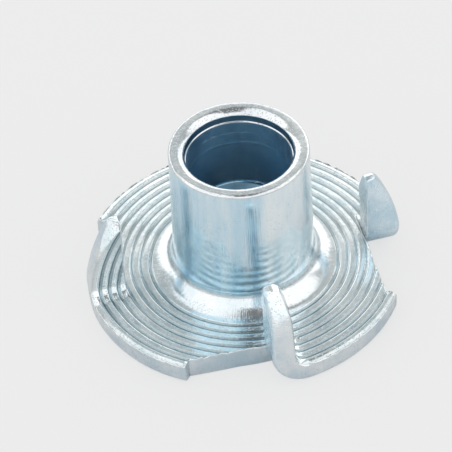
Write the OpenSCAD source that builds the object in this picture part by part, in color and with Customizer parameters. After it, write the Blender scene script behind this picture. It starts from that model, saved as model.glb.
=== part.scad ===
// Tee nut: one piece of pressed and drawn sheet steel.
// The flange lies flat on z = 0 and the barrel stands up along +Z.
// Each prong is a lug of the flange, sheared along a chord and folded up beside its notch.
// Sizes are for an M6 bolt, which enters at the mouth and screws into the lower bore.
// The thread's own ridges are left out: the lower bore is the wall that they would reach in to.

/* [Barrel] */
// Height of the nut, from the underside of the flange to the mouth of the barrel
nut_h = 10.15; // [9:0.05:14]
// Outside radius of the barrel at its mouth
barrel_top_r = 4.06; // [3.98:0.02:4.2]
// Outside radius of the barrel at the top of its foot fillet
barrel_foot_r = 4.16; // [4.06:0.02:4.3]
// Radius of the fillet between barrel and flange
foot_fillet = 1.28; // [0.8:0.02:1.4]
// Rounding of the outer edge of the mouth
mouth_round = 0.19; // [0.1:0.01:0.26]

/* [Bore] */
// Radius of the opening under the rounded lip of the mouth
lip_r = 3.13; // [3.11:0.01:3.2]
// Rounding of the lip
lip_round = 0.5; // [0.26:0.01:0.52]
// Depth of the ledge under the lip, below the mouth
ledge_depth = 0.76; // [0.6:0.02:1]
// Radius of the plain bore, which the bolt passes freely
plain_r = 3.06; // [3.02:0.01:3.1]
// Depth of the plain bore's lower end, below the mouth
plain_depth = 5.4; // [3.5:0.1:7]
// Radius of the thread's inner wall
thread_r = 2.5; // [2.46:0.01:2.57]
// Rounding of the hole's edge in the underside of the flange
entry_round = 0.5; // [0.3:0.05:0.9]

/* [Flange] */
// Radius of the flange
flange_r = 9.5; // [8.8:0.1:11]
// Thickness of the sheet, measured over the ridges
sheet_t = 1.38; // [1.1:0.02:1.6]
// Width of the smooth land between the foot fillet and the first groove
land_w = 0.01; // [0.01:0.01:0.2]
// Distance from one groove to the next
groove_pitch = 0.55; // [0.42:0.01:0.8]
// Width of a groove at its mouth
groove_w = 0.29; // [0.18:0.01:0.38]
// Depth of a groove
groove_depth = 0.1; // [0.05:0.01:0.14]
// Width of the band that curves down to the rim
rim_band_w = 0.39; // [0.18:0.01:0.52]
// Drop of the rim's sheared upper edge below the ridges
rim_drop = 0.16; // [0.06:0.01:0.18]
// Rounding of the rim's lower edge
rim_round = 0.39; // [0.18:0.01:0.7]

/* [Prongs] */
// Number of prongs
prong_count = 4; // [2:1:4]
// Width of a prong's lug at the fold, from the sheared chord to the rim
lug_w = 2.16; // [1.6:0.02:2.6]
// Height of a prong's tip above the ridges
prong_h = 4.9; // [3.5:0.02:5]
// Radius inside the fold
fold_r = 0.75; // [0.35:0.05:0.85]
// How much the bending flattens the grooves in the fold
fold_flattening = 0.03; // [0.02:0.01:0.04]
// How much a lug lengthens as it is pressed up out of its notch
lug_growth = 0.26; // [0:0.01:0.4]
// Angle, in degrees, by which a prong stands further round than the middle of its chord
prong_turn = 2.8; // [2:0.1:4]
// Thickness of a prong at its tip, which is thinned on the ridged side
tip_t = 0.5; // [0.3:0.05:0.9]
// Length of the thinned tip
tip_l = 1.5; // [0.8:0.1:2.5]

/* [Hidden] */
$fn = 96;

// Bright zinc plate
zinc = [0.78, 0.83, 0.86];
// Reach of a cutting shape past the face it cuts
over = 1;
// The fold's rim lies this far inside the blade's, so that the two join cleanly
join_step = 0.02;
// How many times further out than the rim a notch's outline runs
notch_reach = 1.3;

// Grooves follow one another from the land to the band at the rim
first_groove_r = barrel_foot_r + foot_fillet + land_w + groove_w / 2;
last_groove_r = flange_r - rim_band_w - groove_w / 2;
groove_radii = [for (r = first_groove_r; r <= last_groove_r; r = r + groove_pitch) r];
// A groove is an arc of this radius, and its centre lies this high above the ridges
groove_round = (pow(groove_w / 2, 2) + pow(groove_depth, 2)) / (2 * groove_depth);
groove_lift = groove_round - groove_depth;

// Radius of the curve that brings the ridged face down to the rim
rim_band_round = (pow(rim_band_w, 2) + pow(rim_drop, 2)) / (2 * rim_drop);

// The chord that frees a lug from the flange
chord_r = flange_r - lug_w;
// Middle of the sheet inside the fold, and half the flat length that the fold takes up
fold_middle_r = fold_r + sheet_t / 2;
half_fold = to_micron(fold_middle_r * PI / 4);
// Flat length from the middle of the fold to the tip
lug_l = prong_h - fold_r + half_fold;
// Length of the notch along the chord, from the chord's middle
notch_l = lug_l - lug_growth;

// Where the point [x, y] of a chord's own frame lies in the frame of its prong
function turned_back(x, y) = [
  x * cos(prong_turn) + y * sin(prong_turn),
  y * cos(prong_turn) - x * sin(prong_turn),
];

function to_micron(length) = round(length * 1000) / 1000;

// Distance along a straight section that passes this far from the axis, for a circle of radius r
function across(r, aside) = to_micron(sqrt(pow(r, 2) - pow(aside, 2)));

// The grooves that run up a prong are those wholly outside its chord where the fold ends
lug_groove_radii = [
  for (r = groove_radii)
    if (across(r, half_fold) - groove_w / 2 > chord_r)
      r
];

module tee_nut() {
  color(zinc) {
    notched_body();
    for (i = [0:prong_count - 1])
      rotate(i * 360 / prong_count + prong_turn)
        prong();
  }
}

module notched_body() {
  difference() {
    rotate_extrude()
      body_section();
    for (i = [0:prong_count - 1])
      rotate(i * 360 / prong_count + prong_turn)
        notch();
  }
}

module body_section() {
  difference() {
    union() {
      sheet_section(groove_radii);
      barrel_section();
    }
    bore_section();
  }
}

// Section of the sheet with the given grooves, out to the given edge.
// It passes the axis at the distance called aside, and its grooves are flattened by that amount.
module sheet_section(radii, edge = flange_r, aside = 0, flattening = 0) {
  difference() {
    square([edge, sheet_t]);
    for (r = radii)
      translate([across(r, aside), sheet_t + groove_lift])
        circle(r = groove_round - flattening);
    translate([edge, 0])
      rotate(90)
        corner_cut(rim_round);
    difference() {
      translate([edge - rim_band_w, sheet_t - rim_drop])
        square(rim_band_w + over);
      translate([edge - rim_band_w, sheet_t - rim_band_round])
        circle(r = rim_band_round);
    }
  }
}

// What is cut away to round a square corner at the origin, whose sides run along +X and +Y
module corner_cut(r) {
  difference() {
    translate([-over, -over])
      square(r + over);
    translate([r, r])
      circle(r = r);
  }
}

// The gap that a lug leaves in the flange, in the frame of its prong.
// It starts where the fold does, and its far end is cut straight towards the axis.
module notch() {
  translate([0, 0, -over])
    linear_extrude(height = sheet_t + 2 * over)
      polygon([
        [chord_r, half_fold],
        [flange_r * notch_reach, half_fold],
        turned_back(chord_r * notch_reach, -notch_l * notch_reach),
        turned_back(chord_r, -notch_l),
      ]);
}

module prong() {
  fold();
  blade();
}

// The quarter turn of the sheet from the flange up into the blade
module fold() {
  translate([0, half_fold, sheet_t + fold_r])
    rotate([-90, 0, -90])
      rotate_extrude(angle = 90)
        translate([fold_r + sheet_t, 0])
          rotate(90)
            intersection() {
              sheet_section(
                lug_groove_radii,
                across(flange_r, half_fold) - join_step,
                half_fold,
                fold_flattening
              );
              translate([chord_r, -over])
                square([flange_r, sheet_t + 2 * over]);
            }
}

// The straight part of the lug, with the rim's own arc as its outer edge
module blade() {
  translate([0, half_fold - fold_r - sheet_t, sheet_t + fold_r - half_fold])
    rotate([-90, 0, 0])
      difference() {
        intersection() {
          rotate_extrude()
            sheet_section(lug_groove_radii);
          translate([chord_r, -lug_l, -over])
            cube([flange_r, lug_l - half_fold, sheet_t + 2 * over]);
        }
        tip_cut();
      }
}

// The wedge that thins a prong's tip, over the flat lug
module tip_cut() {
  slope = (sheet_t - tip_t) / tip_l;
  translate([chord_r - over, -lug_l, 0])
    rotate([90, 0, 90])
      linear_extrude(height = flange_r)
        polygon([
          [-over, tip_t - over * slope],
          [tip_l + over / slope, sheet_t + over],
          [-over, sheet_t + over],
        ]);
}

module barrel_section() {
  difference() {
    polygon([
      [0, 0],
      [barrel_foot_r, 0],
      [barrel_foot_r, sheet_t + foot_fillet],
      [barrel_top_r, nut_h],
      [0, nut_h],
    ]);
    translate([barrel_top_r, nut_h])
      rotate(180)
        corner_cut(mouth_round);
  }
  // Concave fillet in the corner between barrel and ridges
  translate([barrel_foot_r, sheet_t])
    difference() {
      square(foot_fillet);
      translate([foot_fillet, foot_fillet])
        circle(r = foot_fillet);
    }
}

// Threaded bore, plain bore and the opening under the lip, each wider than the one below
module bore_section() {
  plain_z = nut_h - plain_depth;
  // The plain bore narrows at 45 degrees to lead the bolt into the thread
  polygon([
    [0, -over],
    [thread_r, -over],
    [thread_r, plain_z - (plain_r - thread_r)],
    [plain_r, plain_z],
    [plain_r, nut_h + over],
    [0, nut_h + over],
  ]);
  translate([0, nut_h - ledge_depth])
    square([lip_r, ledge_depth + over]);
  translate([lip_r, nut_h])
    rotate(-90)
      corner_cut(lip_round);
  translate([thread_r, 0])
    corner_cut(entry_round);
}

tee_nut();
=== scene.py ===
"""Looks of a pressed tee nut: its zinc-plated skin, its thread and the studio around it."""

import logging
import math
from dataclasses import dataclass, field
from enum import Enum

import bpy
import numpy as np
from mathutils import Matrix, Vector, noise


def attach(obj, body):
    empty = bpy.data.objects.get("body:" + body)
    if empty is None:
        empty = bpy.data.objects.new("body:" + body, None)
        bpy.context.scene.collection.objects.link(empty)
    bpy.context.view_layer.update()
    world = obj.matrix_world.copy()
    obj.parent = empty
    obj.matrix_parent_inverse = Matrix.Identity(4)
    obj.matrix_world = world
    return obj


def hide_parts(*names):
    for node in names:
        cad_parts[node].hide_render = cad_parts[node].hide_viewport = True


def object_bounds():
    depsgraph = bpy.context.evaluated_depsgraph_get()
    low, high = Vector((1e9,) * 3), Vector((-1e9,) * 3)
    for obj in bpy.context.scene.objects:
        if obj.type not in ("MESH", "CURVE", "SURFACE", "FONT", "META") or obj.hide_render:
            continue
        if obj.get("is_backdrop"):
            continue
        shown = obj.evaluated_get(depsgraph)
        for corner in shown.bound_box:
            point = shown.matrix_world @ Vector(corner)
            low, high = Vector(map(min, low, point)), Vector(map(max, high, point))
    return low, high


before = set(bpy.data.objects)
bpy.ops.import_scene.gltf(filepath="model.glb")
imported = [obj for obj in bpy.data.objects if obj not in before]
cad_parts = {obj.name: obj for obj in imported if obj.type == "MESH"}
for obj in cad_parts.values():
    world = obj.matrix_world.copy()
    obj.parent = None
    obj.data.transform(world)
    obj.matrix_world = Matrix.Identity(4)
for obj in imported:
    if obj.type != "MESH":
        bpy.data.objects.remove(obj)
CAD_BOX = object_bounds()

LOG = logging.getLogger("tee_nut")
MM = 0.001
NODE = "tee_nut"
BODY = "root"
# Name of the point attribute that sets the painted shade in the grooves
HOLLOW = "hollow"
QUARTERS = 4
# Lengths that differ by less than this, in millimetres, are the same
NEAR = 1e-9

# The (r, z) points of a section through the axis, and a colour
Section = list[tuple[float, float]]
Color = tuple[float, float, float, float]


class Finish(Enum):
    """The finishes that the nut's skin wears, in the order of its material slots."""

    PLATED = 0
    RIDGED = 1
    SHEARED = 2
    BORE = 3
    MOUTH = 4
    # Near-black zinc under the lip and in the thread, a painted shade
    THREAD = 5
    BACK = 6
    COLLAR = 7


# ---------------------------------------------------------------- mesh tools


@dataclass
class Skin:
    """Collects points and faces in millimetres, then welds them into one mesh.

    Attributes:
        blocks: arrays of points, in the order in which they were added.
        hollows: how deep in a groove each point lies, from 0 to 1, which sets the painted groove shade.
        faces: corner indices of each face.
        finishes: the finish of each face.
        count: how many points have been added.
    """

    blocks: list[np.ndarray] = field(default_factory=list)
    hollows: list[np.ndarray] = field(default_factory=list)
    faces: list[tuple[int, ...]] = field(default_factory=list)
    finishes: list[int] = field(default_factory=list)
    count: int = 0

    # Points weld where they fall in the same cell of a lattice with this many cells to the
    # millimetre, which is shifted by a share of a cell
    WELD_FINENESS = 1e5
    WELD_SHIFT = 0.237

    def add_points(self, points: np.ndarray, hollow: np.ndarray | float = 0.0) -> np.ndarray:
        """Adds points to the skin.

        Args:
            points: an array of x, y, z rows.
            hollow: how deep in a groove they lie, from 0 to 1, which sets the painted groove shade.

        Returns:
            The indices of the new points.
        """
        self.blocks.append(points)
        self.hollows.append(np.broadcast_to(hollow, len(points)))
        first = self.count
        self.count += len(points)
        return np.arange(first, self.count)

    def add_face(self, corners: tuple[int, ...], finish: Finish) -> None:
        """Adds one face, whose corners are given against the clock as seen from outside."""
        self.faces.append(tuple(int(c) for c in corners))
        self.finishes.append(finish.value)

    def sew_grid(self, rows: list[np.ndarray], finish: Finish, closed: bool = False) -> None:
        """Joins rows that all have the same number of points with quads.

        Args:
            rows: index arrays, one for each row.
            finish: what the faces wear.
            closed: whether the last point of a row is joined to its first.
        """
        for low, high in zip(rows[:-1], rows[1:]):
            size = len(low)
            for i in range(size if closed else size - 1):
                j = (i + 1) % size
                self.add_face((low[i], low[j], high[j], high[i]), finish)

    def sew_strip(
        self,
        low: np.ndarray,
        low_at: np.ndarray,
        high: np.ndarray,
        high_at: np.ndarray,
        finish: Finish,
    ) -> None:
        """Joins two rows with different numbers of points.

        Args:
            low: indices of the first row.
            low_at: where each of its points stands along the row, rising.
            high: indices of the second row, to the left of the first.
            high_at: where each of its points stands, on the same scale.
            finish: what the faces wear.
        """
        i, j = 0, 0
        near = 1e-7
        while i < len(low) - 1 or j < len(high) - 1:
            more_low, more_high = i < len(low) - 1, j < len(high) - 1
            if more_low and more_high and abs(low_at[i + 1] - high_at[j + 1]) < near:
                self.add_face((low[i], low[i + 1], high[j + 1], high[j]), finish)
                i, j = i + 1, j + 1
            elif more_low and (not more_high or low_at[i + 1] < high_at[j + 1]):
                self.add_face((low[i], low[i + 1], high[j]), finish)
                i += 1
            else:
                self.add_face((low[i], high[j + 1], high[j]), finish)
                j += 1

    def welded(self) -> tuple[np.ndarray, np.ndarray, list[tuple[int, ...]], list[int]]:
        """Merges points that coincide and drops faces that collapse.

        Returns:
            The points, how deep in a groove each lies, the faces and the finish of each face.
        """
        points = np.vstack(self.blocks)
        # The shift keeps round sizes off the cells' borders, where copies of a point could part
        keys = np.floor(points * self.WELD_FINENESS + self.WELD_SHIFT).astype(np.int64)
        _, first, new = np.unique(keys, axis=0, return_index=True, return_inverse=True)
        new = new.reshape(-1)
        faces, finishes = [], []
        for corners, finish in zip(self.faces, self.finishes):
            kept: list[int] = []
            for corner in corners:
                index = int(new[corner])
                if index not in kept:
                    kept.append(index)
            if len(kept) > 2:
                faces.append(tuple(kept))
                finishes.append(finish)
        return points[first], np.concatenate(self.hollows)[first], faces, finishes


def arc(centre: tuple[float, float], radius: float, start: float, end: float, steps: int) -> Section:
    """Points along an arc of a section.

    Args:
        centre: its centre.
        radius: its radius.
        start: the angle of its first point, in degrees.
        end: the angle of its last point, in degrees.
        steps: how many chords it has.

    Returns:
        A list of (r, z) pairs.
    """
    angles = np.radians(np.linspace(start, end, steps + 1))
    return [(centre[0] + radius * math.cos(a), centre[1] + radius * math.sin(a)) for a in angles]


def between(low: float, high: float, marks: np.ndarray, clear: float) -> np.ndarray:
    """The two ends of a stretch with the marks that lie well inside it.

    Args:
        low: the lower end.
        high: the upper end.
        marks: rising places of the regular points.
        clear: how far a mark must stay from both ends.

    Returns:
        Rising places, both ends included.
    """
    inside = marks[(marks > low + clear) & (marks < high - clear)]
    return np.concatenate([[low], inside, [high]])


# ---------------------------------------------------------------- the sheet


@dataclass(frozen=True)
class Grooves:
    """The ring grooves pressed into the flange.

    Attributes:
        first_r: radius of the innermost groove.
        pitch: distance from one groove to the next.
        count: how many there are.
        width: width of a groove at its mouth.
        depth: depth of a groove.
        crown: how far the crest between two grooves bulges.
        lean: how far a crest falls from its inner to its outer side.
        sharpness: how rounded a groove's mouth is, from 1, sharp, to 2, soft.
    """

    first_r: float = 5.595
    pitch: float = 0.55
    count: int = 7
    width: float = 0.29
    depth: float = 0.1
    crown: float = 0.004
    lean: float = 0.028
    sharpness: float = 1.2

    @property
    def radii(self) -> np.ndarray:
        """Radius of each groove."""
        return self.first_r + self.pitch * np.arange(self.count)

    def valley(self, r: np.ndarray) -> np.ndarray:
        """How deep a groove is at radius r."""
        off = np.abs(r[..., None] - self.radii).min(axis=-1)
        return self.depth * np.cos(np.clip(off / self.width, 0, 0.5) * math.pi) ** self.sharpness

    def drop(self, r: np.ndarray) -> np.ndarray:
        """How far the face lies below the crests.

        Args:
            r: radii of the places asked for.

        Returns:
            The drop at each radius.
        """
        # The crest's own fall fades out over this share of a groove's depth
        fade = 0.3
        valley = self.valley(r)
        half = (self.pitch - self.width) / 2
        place = (r - self.first_r) % self.pitch
        side = np.clip((place - self.pitch / 2) / half, -1, 1)
        ridged = (r > self.radii[0]) & (r < self.radii[-1])
        fall = self.crown * side**2 + self.lean * (side + 1) / 2
        deep = np.clip(valley / (fade * self.depth), 0, 1)
        return valley + np.where(ridged, fall * (1 - deep), 0)

    def sample_radii(self) -> np.ndarray:
        """Radii at which the face needs a row of points."""
        shares = np.array([-0.5, -0.43, -0.3, -0.14, 0, 0.14, 0.3, 0.43, 0.5, 0.72, 0.95, 1.18])
        return (self.radii[:, None] + shares * self.width).reshape(-1)


@dataclass(frozen=True)
class Sheet:
    """The flange's sheet: a flat round plate with a ridged upper face.

    Attributes:
        flange_r: radius of the rim.
        thickness: thickness over the crests.
        grooves: the grooves of the upper face.
        band_w: width of the band that curves down to the rim.
        rim_drop: how far the rim's upper edge lies below the crests.
        rim_round: rounding of the rim's lower edge.
        edge: rounding of each sheared edge.
    """

    flange_r: float = 9.5
    thickness: float = 1.38
    grooves: Grooves = Grooves()
    band_w: float = 0.39
    rim_drop: float = 0.16
    rim_round: float = 0.39
    edge: float = 0.07

    def top(self, r: np.ndarray) -> np.ndarray:
        """Height of the upper face at radius r."""
        out = np.clip(r - (self.flange_r - self.band_w), 0, self.band_w) / self.band_w
        return self.thickness - self.grooves.drop(r) - self.rim_drop * out**2

    def bottom(self, r: np.ndarray) -> np.ndarray:
        """Height of the lower face at radius r."""
        out = np.clip(r - (self.flange_r - self.rim_round), 0, self.rim_round)
        return self.rim_round - np.sqrt(self.rim_round**2 - out**2)


@dataclass(frozen=True)
class Lean:
    """How one prong strays from its true shape.

    Attributes:
        out: how far its tip leans away from the barrel.
        twist: how far it turns about its inner edge at the tip, in degrees.
        tip_t: thickness of the tip's outer edge, which is thinned on the ridged side.
        tip_l: length of the thinned edge.
        tip_side: how fast the thinning fades inward from the outer edge, for each millimetre.
        dome: length of the tip's rounded end.
    """

    out: float = 0.0
    twist: float = 0.0
    tip_t: float = 0.5
    tip_l: float = 1.5
    tip_side: float = 0.0
    dome: float = 0.12


@dataclass(frozen=True)
class Lug:
    """The lug that is sheared along a chord and folded up into a prong.

    Its flat pattern lies along the chord x = chord_r, with the fold centred on y = 0.

    Attributes:
        sheet: the sheet that it is cut from.
        width: from the chord to the rim at the fold.
        height: height of the tip above the crests.
        fold_r: radius inside the fold.
        growth: how much longer the lug is than its notch.
        turn: how far the prong stands round from its chord's middle, in degrees.
        fold_steps: chords round the fold.
        blade_steps: chords along the blade.
        end_steps: chords along the rounded end.
        end_l: length that the rounded end may take up.
    """

    sheet: Sheet
    width: float = 2.16
    height: float = 4.9
    fold_r: float = 0.75
    growth: float = 0.26
    turn: float = 2.8
    fold_steps: int = 20
    blade_steps: int = 32
    end_steps: int = 8
    end_l: float = 0.45

    @property
    def chord_r(self) -> float:
        """Distance of the chord from the axis."""
        return self.sheet.flange_r - self.width

    @property
    def half_fold(self) -> float:
        """Half the flat length that the fold takes up."""
        return (self.fold_r + self.sheet.thickness / 2) * math.pi / 4

    @property
    def length(self) -> float:
        """Flat length from the middle of the fold to the tip."""
        return self.height - self.fold_r + self.half_fold

    @property
    def notch_l(self) -> float:
        """Length of the notch from the middle of the fold."""
        return self.length - self.growth

    @property
    def far_angle(self) -> float:
        """Angle of the notch's far end, measured from the prong."""
        return math.atan2(self.notch_l, self.chord_r) + math.radians(self.turn)

    @property
    def cut_angle(self) -> float:
        """Direction that the flange's cut along the chord faces, measured from the prong.

        Returns:
            The angle.
        """
        turn = math.radians(self.turn)
        x = self.chord_r * math.cos(turn) - self.notch_l * math.sin(turn)
        y = self.notch_l * math.cos(turn) + self.chord_r * math.sin(turn)
        return -math.atan2(self.chord_r - x, self.half_fold + y)

    @property
    def cut_r(self) -> float:
        """Distance of the flange's cut from the axis."""
        angle = self.cut_angle
        return self.chord_r * math.cos(angle) + self.half_fold * math.sin(angle)

    @property
    def marks(self) -> np.ndarray:
        """Regular places along the lug, which crowd towards its tip.

        Returns:
            Rising places.
        """
        crowding = 1.5
        fold = np.linspace(-self.half_fold, self.half_fold, self.fold_steps + 1)
        blade = np.linspace(self.end_l - self.length, -self.half_fold, self.blade_steps + 1)
        end = self.end_l * np.linspace(0, 1, self.end_steps + 1) ** crowding - self.length
        return np.concatenate([end[:-1], blade[:-1], fold])

    def loss(self, x: np.ndarray, y: np.ndarray, lean: Lean) -> np.ndarray:
        """Share of the thickness that the thinned tip has lost.

        Args:
            x: distance of each place of the flat pattern from the axis, across the chord.
            y: place along the chord.
            lean: how this prong strays.

        Returns:
            The share lost at each place.
        """
        bend = 0.05
        from_rim = self.sheet.flange_r - np.hypot(x, y)
        fade = 1 - (y + self.length) / lean.tip_l - lean.tip_side * from_rim
        loss = (1 - lean.tip_t / self.sheet.thickness) * fade
        eased = np.clip(loss + bend, 0, 2 * bend) ** 2 / (4 * bend)
        return np.where(loss > bend, loss, eased)

    def slit_x(self, inset: float) -> float:
        """Where the flange's cut, moved in by inset, meets the line where the fold starts."""
        angle = self.cut_angle
        return (self.cut_r - inset - self.half_fold * math.sin(angle)) / math.cos(angle)

    def corner_reach(self, inset: float) -> float:
        """How far out the notch's far end starts, when both cuts are moved in by inset."""
        between_cuts = self.far_angle + self.cut_angle
        return (self.cut_r - inset + inset * math.sin(between_cuts)) / math.cos(between_cuts)

    def corner_r(self, inset: float) -> float:
        """Radius of the corner where the flange's cut meets the notch's far end."""
        return math.hypot(self.corner_reach(inset), inset)

    def fold_up(self, flat: np.ndarray, lean: Lean) -> np.ndarray:
        """Bends points of the flat lug up into the prong.

        Args:
            flat: x, y, z rows of the flat pattern.
            lean: how this prong strays.

        Returns:
            The bent points.
        """
        x, y, z = flat.T
        thinnest = 0.3
        half, pivot = self.half_fold, self.sheet.thickness + self.fold_r
        from_tip, top = np.clip(y + self.length, 0, None), self.sheet.top(np.hypot(x, y))
        face = np.minimum(top, self.sheet.thickness * (1 - self.loss(x, y, lean)))
        inward = 1 - np.clip(from_tip / lean.dome, 0, 1)
        full = np.clip(np.sqrt(1 - inward**2), thinnest, 1)
        z = face / 2 + (z / top - 0.5) * face * full
        turn = np.clip((half - y) / (2 * half), 0, 1) * math.pi / 2
        reach = pivot - z
        beyond = np.clip(-half - y, 0, None)
        bent_y = half - reach * np.sin(turn)
        bent_z = pivot - reach * np.cos(turn) + beyond
        share = beyond / (self.length - half)
        twist = np.radians(lean.twist) * share
        from_chord = x - self.chord_r
        bent_x = x + lean.out * share**2 + from_chord * (np.cos(twist) - 1) - z * np.sin(twist)
        bent_y = bent_y + from_chord * np.sin(twist) + z * (np.cos(twist) - 1)
        return np.stack([bent_x, bent_y, bent_z], axis=1)


def turned(points: np.ndarray, degrees: float) -> np.ndarray:
    """Turns points about the barrel's axis.

    Args:
        points: x, y, z rows.
        degrees: the angle.

    Returns:
        The turned points.
    """
    a = math.radians(degrees)
    cos, sin = math.cos(a), math.sin(a)
    x, y, z = points.T
    return np.stack([x * cos - y * sin, x * sin + y * cos, z], axis=1)


class Stretch(Enum):
    """The stretches of a quarter's outline, in the order in which they run with the clock."""

    RIM = 0
    LUG_RIM = 1
    TIP = 2
    LUG_SIDE = 3
    SLIT = 4
    CHORD = 5
    FAR_END = 6

    @property
    def on_lug(self) -> bool:
        """Whether the stretch runs along the lug."""
        return self in (Stretch.LUG_RIM, Stretch.TIP, Stretch.LUG_SIDE)


@dataclass
class Flange:
    """The ridged flange with its notches and prongs.

    Attributes:
        sheet: the sheet's section.
        lug: the lug of each prong.
        leans: how each prong strays, one for each quarter.
        lifts: how far the corner at each notch's far end is bent up.
        inner_top_r: where the upper face meets the barrel's foot.
        inner_bottom_r: where the lower face meets the hole.
        columns: regular columns in a quarter turn.
        burr: greatest height of the burr along the upper edge.
    """

    sheet: Sheet
    lug: Lug
    leans: tuple[Lean, ...]
    lifts: tuple[float, ...]
    inner_top_r: float
    inner_bottom_r: float
    columns: int
    burr: float = 0.12

    # How far regular points stay from the ends of a row: on the flange as a share of a column's
    # angle, and on the lug in millimetres
    PETAL_CLEAR = 0.35
    LUG_CLEAR = 0.03
    # Chords round each sheared edge
    EDGE_STEPS = 4
    # Mean height of the burr, height and fineness of each of its waves, and the most it may be
    BURR_MEAN = 0.4
    BURR_WAVES = ((0.7, 2.3), (1.0, 6.0))
    BURR_MOST = 1.2

    @property
    def lattice(self) -> np.ndarray:
        """Regular angles of a quarter turn from the middle of its cut, rising."""
        return self.lug.cut_angle + np.linspace(0, math.pi / 2, self.columns + 1)

    def marked_radii(self) -> list[float]:
        """Radii at which the outline of the flat pattern turns a corner.

        Returns:
            The radii, with that of the rim last.
        """
        edge, lug = self.sheet.edge, self.lug
        outer = lug.chord_r + edge
        return [
            lug.cut_r - edge,
            math.hypot(lug.slit_x(edge), lug.half_fold),
            outer,
            math.hypot(outer, lug.half_fold),
            lug.corner_r(edge),
            math.hypot(outer, lug.length - edge),
            self.sheet.flange_r - edge,
        ]

    def rings(self, regular: np.ndarray, first: float) -> np.ndarray:
        """Merges regular ring radii with the marked ones.

        Args:
            regular: wanted radii.
            first: the innermost ring.

        Returns:
            Rising radii from the first ring to the rounding of the rim.
        """
        marked = np.array([first] + self.marked_radii())
        clear = 0.008
        far = np.abs(regular[:, None] - marked[None, :]).min(axis=1) > clear
        inside = (regular > first) & (regular < marked[-1])
        return np.sort(np.concatenate([marked, regular[far & inside]]))

    def top_rings(self) -> np.ndarray:
        """Rings of the upper face.

        Returns:
            Rising radii.
        """
        sheet = self.sheet
        band = sheet.flange_r - sheet.band_w * np.linspace(1, 0.1, 8)
        return self.rings(np.concatenate([sheet.grooves.sample_radii(), band]), self.inner_top_r)

    def bottom_rings(self) -> np.ndarray:
        """Rings of the lower face.

        Returns:
            Rising radii.
        """
        sheet = self.sheet
        turn = np.linspace(0, math.pi / 2, 8)
        rim = sheet.flange_r - sheet.rim_round * (1 - np.sin(turn))
        flat = np.linspace(self.inner_bottom_r, sheet.flange_r - sheet.rim_round, 12)[1:-1]
        return self.rings(np.concatenate([flat, rim]), self.inner_bottom_r)

    def petal_span(self, r: float) -> tuple[float, float]:
        """Angles between which the flat flange reaches, between two prongs.

        Args:
            r: radius of the ring.

        Returns:
            The first and the last angle.
        """
        lug, edge = self.lug, self.sheet.edge
        if r <= lug.cut_r - edge:
            return lug.cut_angle, lug.cut_angle + math.pi / 2
        off = math.acos((lug.cut_r - edge) / r)
        at_slit = r >= math.hypot(lug.slit_x(edge), lug.half_fold)
        at_far_end = r >= lug.corner_r(edge)
        start = math.asin(lug.half_fold / r) if at_slit else lug.cut_angle + off
        end = -lug.far_angle - math.asin(edge / r) if at_far_end else lug.cut_angle - off
        return start, math.pi / 2 + end

    def lug_span(self, r: float) -> tuple[float, float]:
        """Places between which the flat lug reaches.

        Args:
            r: radius of the ring.

        Returns:
            The first and the last place along the chord.
        """
        lug, edge = self.lug, self.sheet.edge
        off = math.sqrt(max(r**2 - (lug.chord_r + edge) ** 2, 0))
        return -min(off, lug.length - edge), min(off, lug.half_fold)

    def petal_rows(self, rings: np.ndarray) -> list[np.ndarray]:
        """Angles of the points of each ring between two prongs."""
        clear = self.PETAL_CLEAR * (self.lattice[1] - self.lattice[0])
        return [between(*self.petal_span(r), self.lattice, clear) for r in rings]

    def lug_rows(self, rings: np.ndarray) -> list[np.ndarray]:
        """Places of the points of each ring along the lug."""
        return [between(*self.lug_span(r), self.lug.marks, self.LUG_CLEAR) for r in rings]

    def outline_shares(self, rings: np.ndarray) -> list[tuple[Stretch, np.ndarray]]:
        """Where the outline's points stand, as shares of each stretch's length.

        Args:
            rings: the ring radii whose ends the outline meets.

        Returns:
            One pair for each stretch: which it is, and rising shares from 0 to 1.
        """
        lug, edge = self.lug, self.sheet.edge
        inner, outer, tip = lug.slit_x(edge), lug.chord_r + edge, lug.length - edge
        half, cut, middle = lug.half_fold, lug.cut_r - edge, 1e-4
        slit_off = math.sqrt(inner**2 + half**2 - cut**2)
        corner_off = math.sqrt(lug.corner_r(edge) ** 2 - cut**2)
        off_lug = np.sqrt(np.clip(rings**2 - outer**2, 0, None))
        off_cut = np.sqrt(np.clip(rings**2 - cut**2, 0, None))
        on_lug, on_cut = rings >= outer - NEAR, rings >= cut - NEAR
        rim = self.petal_rows(rings[-1:])[0][::-1]
        rim_lug = self.lug_rows(rings[-1:])[0][::-1]
        tip_x = np.sqrt(rings[on_lug & (off_lug >= tip - NEAR)] ** 2 - tip**2)[::-1]
        side = off_lug[on_lug & (off_lug <= tip + NEAR)]
        side_y = np.concatenate([-side[::-1], side[(side > NEAR) & (side <= half + NEAR)]])
        cross = np.sqrt(np.clip(rings**2 - half**2, 0, None))
        slit_x = cross[(cross >= inner - NEAR) & (cross <= outer + NEAR)][::-1]
        chord = off_cut[on_cut & (off_cut <= slit_off + NEAR)][::-1]
        chord_down = off_cut[on_cut & (off_cut > middle) & (off_cut <= corner_off + NEAR)]
        chord_off = np.concatenate([chord, -chord_down])
        far = np.sqrt(rings[on_cut & (off_cut >= corner_off - NEAR)] ** 2 - edge**2)
        stretches = [rim, rim_lug, tip_x, side_y, slit_x, chord_off, far]
        return [(kind, (s - s[0]) / (s[-1] - s[0])) for kind, s in zip(Stretch, stretches)]

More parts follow.
